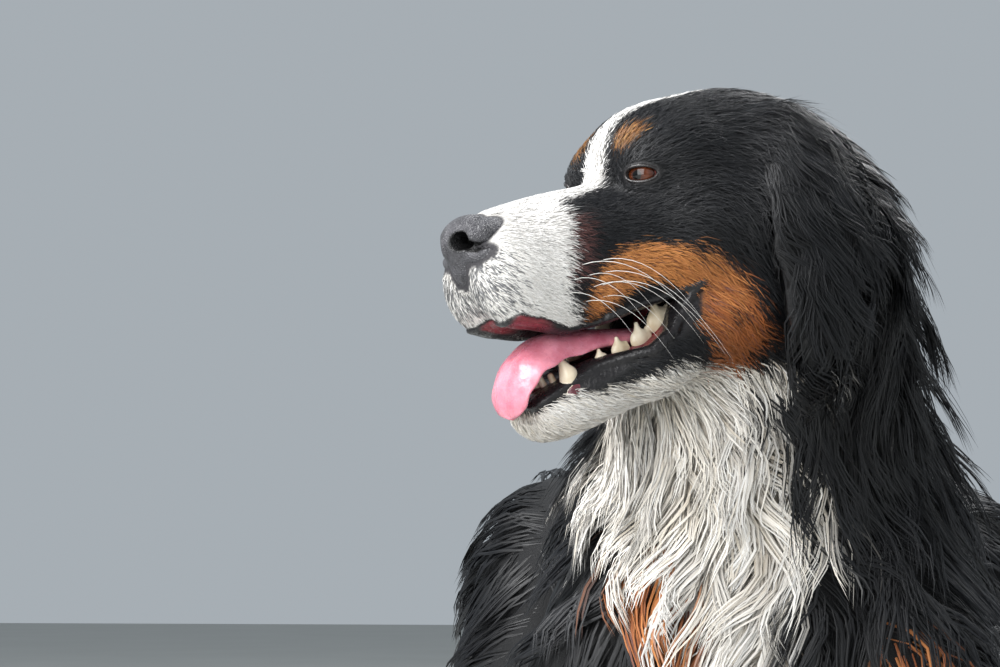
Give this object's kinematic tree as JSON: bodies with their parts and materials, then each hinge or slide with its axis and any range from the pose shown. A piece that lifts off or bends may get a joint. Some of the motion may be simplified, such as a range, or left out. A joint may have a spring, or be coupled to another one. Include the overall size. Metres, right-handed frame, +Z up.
{
  "type": "bernese mountain dog",
  "caption": "Life-size still model of a long-coated tricolour mountain dog lying on its chest, head raised and turned to its right, mouth open.",
  "frame": {"origin": "on the floor under the middle of the ribs", "axes": "+X the way the body points, +Y the dog's left, +Z up"},
  "size_m": [1.1682, 0.5688, 0.5499],
  "materials": {
    "coat": "long soft hair in overlapping locks, black with white and rust marks",
    "nose": "moist pebbled black leather",
    "eye": "wet, clear over dark brown",
    "tongue": "moist pink",
    "gum": "moist dark lip and gum",
    "tooth": "smooth ivory",
    "claw": "smooth dark horn"
  },
  "bodies": {
    "root": {"head": "coat", "jaw": "coat", "neck": "coat", "chest": "coat", "torso": "coat", "rump": "coat", "tail_base": "coat", "tail_tip": "coat", "shoulder_left": "coat", "shoulder_right": "coat", "foreleg_left": "coat", "foreleg_right": "coat", "thigh_left": "coat", "thigh_right": "coat", "hindfoot_left": "coat", "hindfoot_right": "coat", "ear_left": "coat", "ear_right": "coat", "nose": "nose", "eye_left": "eye", "eye_right": "eye", "tongue": "tongue"}
  },
  "joints": []
}
